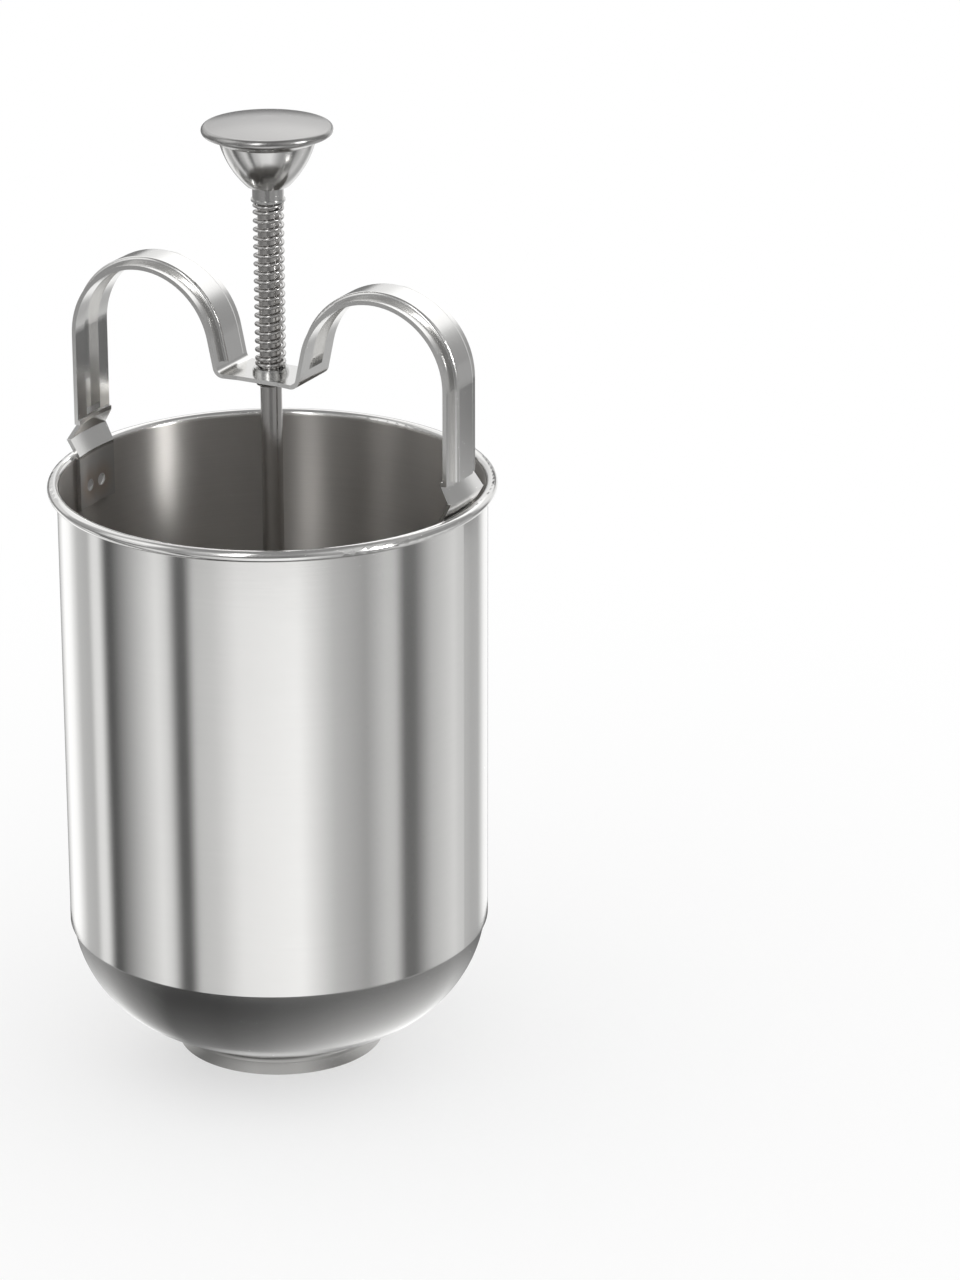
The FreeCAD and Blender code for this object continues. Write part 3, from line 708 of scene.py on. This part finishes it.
class Cards(Enum):
    """The rings of cards round the maker, from its foot outwards and up to the lamps."""

    FOOT = (
        Panel(-180, -90, 0.80, 0.75),
        Panel(-76, -70, 0.60, 0.50),
        Panel(-54, -46, 0.26, 0.28),
        Panel(-18, 12, 0.66, 0.68),
        Panel(30, 38, 0.38, 0.36),
        Panel(48, 60, 0.50, 0.75),
        Panel(80, 180, 0.90, 0.85),
    )
    SHADE = (
        Panel(-180, -140, 0.10, 0.10),
        Panel(-118, -110, 0.26, 0.26),
        Panel(-92, -72, 0.24, 0.12),
        Panel(-50, -24, 0.035, 0.035),
        Panel(-8, 10, 0.05, 0.078),
        Panel(30, 50, 0.12, 0.156),
        Panel(70, 90, 0.19, 0.24),
        Panel(120, 180, 0.12, 0.10),
    )
    LOW = (
        Panel(-180, -172, 0.22, 0.30),
        Panel(-152, -142, 1.25, 1.20),
        Panel(-130, -118, 0.60, 0.52),
        Panel(-114, -108, 0.92, 0.95),
        Panel(-102, -98, 0.11, 0.09),
        Panel(-66, -60, 0.95, 0.80),
        Panel(-54, -49, 0.11, 0.11),
        Panel(-44, -33, 0.66, 0.72),
        Panel(-20, 12, 0.98, 1.12),
        Panel(31, 49, 0.60, 0.40),
        Panel(61, 67, 0.66, 0.66),
        Panel(73, 80, 0.16, 0.17),
        Panel(92, 112, 0.56, 0.82),
        Panel(130, 142, 0.50, 0.50),
        Panel(154, 168, 1.10, 1.10),
        Panel(173, 180, 0.30, 0.22),
    )
    FAR = (
        Panel(-180, -170, 0.20, 0.26),
        Panel(-158, -110, 0.32, 0.30),
        Panel(-92, -72, 0.26, 0.28),
        Panel(-56, -30, 0.34, 0.36),
        Panel(-15, 6, 0.20, 0.20),
        Panel(20, 44, 0.36, 0.34),
        Panel(58, 66, 0.46, 0.46),
        Panel(78, 92, 0.36, 0.36),
        Panel(100, 126, 0.40, 0.42),
        Panel(140, 165, 0.90, 0.95),
        Panel(172, 180, 0.26, 0.20),
    )
    ROOM = (
        Panel(-180, -165, 0.95, 0.80),
        Panel(-155, -128, 0.75, 0.80),
        Panel(-120, -100, 0.38, 0.36),
        Panel(-92, -68, 0.78, 0.85),
        Panel(-60, -48, 0.34, 0.32),
        Panel(-40, -26, 0.50, 0.50),
        Panel(-18, 14, 0.26, 0.24),
        Panel(26, 44, 0.40, 0.44),
        Panel(56, 66, 0.50, 0.50),
        Panel(74, 120, 0.32, 0.34),
        Panel(128, 150, 0.95, 1.00),
        Panel(166, 180, 1.00, 0.95),
    )
    DARK = (Panel(-180, 180, 0.10, 0.10),)
    SIDE_LAMP = (
        Panel(-180, 54, 0.0, 0.0),
        Panel(58, 63, 1.0, 1.0),
        Panel(67, 180, 0.0, 0.0),
    )
    FRONT_LAMP = (
        Panel(-180, -29, 0.0, 0.0),
        Panel(-24, -18, 1.0, 1.0),
        Panel(-13, 180, 0.0, 0.0),
    )

    def level(self, graph: Graph, bearing: Field) -> Field:
        """Give the brightness of the ring at a bearing.

        Args:
            graph: where the nodes go.
            bearing: share of a full turn, one half on the camera's side.

        Returns:
            The brightness.
        """
        stops = []
        for panel in self.value:
            for place, level in ((panel.left, panel.left_level), (panel.right, panel.right_level)):
                stops.append((place / 360 + 0.5, (level, level, level)))
        return graph.value("ShaderNodeValToRGB", {"stops": stops}, {"Fac": bearing}, 0)


@dataclass(frozen=True)
class Ring:
    """A ring on the floor or a part of one, between two bearings, and how it brightens inwards."""

    inner: float
    outer: float
    fall: float = 0.0
    left: float = -180.0
    right: float = 180.0
    height: float = 0.0
    steps: int = 96


@dataclass
class PhotoCamera:
    """The camera that took the view: where it stands and how it looks."""

    bearing: float = math.radians(30.0)
    distance: float = 1.06343
    height: float = 0.50631
    pitch: float = 0.364318
    yaw: float = 0.0452532
    lens: float = 90.74
    sensor: float = 24.0

    def build(self) -> bpy.types.Object:
        """Place the camera.

        Returns:
            The camera's object.
        """
        data = bpy.data.cameras.new("view")
        data.sensor_fit = "VERTICAL"
        data.sensor_height = self.sensor
        data.lens = self.lens
        camera = bpy.data.objects.new("view", data)
        bpy.context.scene.collection.objects.link(camera)
        camera.location = (
            self.distance * math.sin(self.bearing),
            -self.distance * math.cos(self.bearing),
            self.height,
        )
        camera.rotation_euler = (math.pi / 2 - self.pitch, 0.0, self.bearing - self.yaw)
        bpy.context.scene.camera = camera
        return camera


@dataclass
class Studio:
    """White floor, white background and the cards that the steel mirrors."""

    camera: PhotoCamera
    floor_radius: float = 8.0
    floor_sides: int = 96
    floor_colour: Colour = (0.95, 0.95, 0.95)
    speckle_colour: Colour = (0.9405, 0.9405, 0.9405)
    speckles_per_metre: float = 400.0
    floor_glow: float = 0.55
    glow_rise: Span = (0.03, 0.36)
    foot: Ring = Ring(0.02, 0.031)
    under: Ring = Ring(0.031, 0.098, fall=1.75)
    far: Ring = Ring(0.50, 8.0)
    dark: Ring = Ring(0.42, 0.62, left=117, right=136, height=0.001)
    room_rise: Span = (-0.22, -0.12)
    sky_gain: float = 0.4
    sky_rise: Span = (0.34, 0.44)
    gap_depth: float = 0.8
    gap_sides: Span = (0.39, 0.43)
    gap_foot: Span = (-0.16, -0.08)
    gap_head: Span = (0.16, 0.06)
    ceiling_level: float = 0.3
    ceiling_rise: Span = (0.72, 0.92)
    side_level: float = 22.0
    side_foot: Span = (0.10, 0.18)
    side_head: Span = (0.42, 0.26)
    front_level: float = 4.0
    front_foot: Span = (0.15, 0.35)
    front_head: Span = (0.95, 0.80)

    def build(self) -> None:
        """Set up the surround, the floor and the shades that the steel mirrors in it."""
        bpy.context.scene.view_settings.view_transform = "Standard"
        self._surround()
        self._floor()
        self._mirrored("foot_shade", Cards.FOOT, self.foot)
        self._mirrored("under_shade", Cards.SHADE, self.under)
        self._mirrored("far_shade", Cards.FAR, self.far)
        self._mirrored("dark_card", Cards.DARK, self.dark)

    def _bearing(self, graph: Graph, x: Field, y: Field) -> Field:
        """Give a level direction as a share of a full turn, one half on the camera's side."""
        sine, cosine = math.sin(self.camera.bearing), math.cos(self.camera.bearing)
        sideways = x * cosine + y * sine
        nearwards = x * sine - y * cosine
        return sideways.math("ARCTAN2", nearwards) / (2 * math.pi) + 0.5

    def _surround(self) -> None:
        """Show white to the camera and the cards to the steel."""
        world = bpy.data.worlds.new("studio")
        bpy.context.scene.world = world
        world.use_nodes = True
        world.cycles.sampling_method = "NONE"
        graph = Graph(world.node_tree)
        coords = graph.node("ShaderNodeTexCoord", {}, {})
        split = graph.node("ShaderNodeSeparateXYZ", {}, {"Vector": coords.outputs["Generated"]})
        x, y, z = (Field(graph, socket) for socket in split.outputs)
        bearing = self._bearing(graph, x, y)
        low = Cards.LOW.level(graph, bearing)
        room = Cards.ROOM.level(graph, bearing)
        level = low + z.between(*self.room_rise) * (room - low)
        level = level * (1.0 + z.between(*self.sky_rise) * self.sky_gain)
        behind = abs(bearing - 0.5).between(*self.gap_sides)
        gap = behind * z.between(*self.gap_foot) * z.between(*self.gap_head)
        level = level * (1.0 - gap * self.gap_depth)
        level = level + z.between(*self.ceiling_rise) * (self.ceiling_level - level)
        side = Cards.SIDE_LAMP.level(graph, bearing) * self.side_level
        front = Cards.FRONT_LAMP.level(graph, bearing) * self.front_level
        level = level + z.between(*self.side_foot) * z.between(*self.side_head) * side
        level = level + z.between(*self.front_foot) * z.between(*self.front_head) * front
        path = graph.node("ShaderNodeLightPath", {}, {})
        mirrored = Field(graph, path.outputs["Is Glossy Ray"])
        shown = 1.0 + mirrored * (level - 1.0)
        light = graph.node("ShaderNodeBackground", {}, {"Color": shown, "Strength": 1.0})
        graph.node("ShaderNodeOutputWorld", {}, {"Surface": light.outputs[0]})

    def _floor(self) -> None:
        """Lay the floor, which fades into the background and doesn't hide the maker from beneath."""
        mesh = bmesh.new()
        bmesh.ops.create_circle(mesh, cap_ends=True, segments=self.floor_sides, radius=self.floor_radius)
        floor = new_piece("floor", mesh)
        made = bpy.data.materials.new("floor_paint")
        made.use_nodes = True
        graph = Graph(made.node_tree)
        place = Place.on_piece(graph)
        speckle = graph.noise(place.point, self.speckles_per_metre)
        colour = graph.mix_colour(speckle, self.floor_colour, self.speckle_colour)
        paint = graph.node("ShaderNodeBsdfDiffuse", {}, {"Color": colour})
        glow = graph.node("ShaderNodeEmission", {}, {"Color": (1.0, 1.0, 1.0, 1.0), "Strength": 1.0})
        far = self.floor_glow + (1.0 - self.floor_glow) * place.radius.between(*self.glow_rise)
        both = graph.node("ShaderNodeMixShader", {}, {0: far, 1: paint.outputs[0], 2: glow.outputs[0]})
        beneath = graph.node("ShaderNodeNewGeometry", {}, {}).outputs["Backfacing"]
        clear = graph.node("ShaderNodeBsdfTransparent", {}, {})
        sides = {0: beneath, 1: both.outputs[0], 2: clear.outputs[0]}
        shown = graph.node("ShaderNodeMixShader", {}, sides)
        graph.node("ShaderNodeOutputMaterial", {}, {"Surface": shown.outputs[0]})
        floor.data.materials.append(made)
        floor.visible_glossy = False

    def _mirrored(self, name: str, cards: Cards, ring: Ring) -> None:
        """Lay a card on the floor that only the steel mirrors.

        Args:
            name: the card's name.
            cards: its brightness by bearing.
            ring: where it lies, and how it brightens inwards.
        """
        mesh = bmesh.new()
        lift = Vector((0, 0, ring.height))
        columns = []
        for step in range(ring.steps + 1):
            side = ring.left + (ring.right - ring.left) * step / ring.steps
            turn = math.radians(side) + self.camera.bearing
            outward = Vector((math.sin(turn), -math.cos(turn), 0))
            ends = (outward * ring.inner, outward * ring.outer)
            columns.append([mesh.verts.new(end + lift) for end in ends])
        for one, other in zip(columns, columns[1:]):
            mesh.faces.new((one[0], one[1], other[1], other[0]))
        piece = new_piece(name, mesh)
        made = bpy.data.materials.new(name)
        made.use_nodes = True
        made.cycles.emission_sampling = "NONE"
        graph = Graph(made.node_tree)
        place = Place.on_piece(graph)
        level = cards.level(graph, self._bearing(graph, place.x, place.y))
        level = level * (place.radius / ring.outer) ** -ring.fall
        shade = graph.node("ShaderNodeEmission", {}, {"Color": level, "Strength": 1.0})
        graph.node("ShaderNodeOutputMaterial", {}, {"Surface": shade.outputs[0]})
        piece.data.materials.append(made)
        piece.visible_camera = False
        piece.visible_diffuse = False
        piece.visible_shadow = False


def main() -> None:
    """Dress the maker, then set up the camera and the studio."""
    logging.basicConfig(level=logging.INFO, format="%(name)s %(message)s")
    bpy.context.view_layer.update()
    turned_steel = TURNED.material()
    Vessel(turned_steel).build()
    Plunger(turned_steel).build()
    ReturnSpring().build()
    camera = PhotoCamera()
    camera.build()
    Studio(camera).build()


if __name__ == "__main__":
    main()
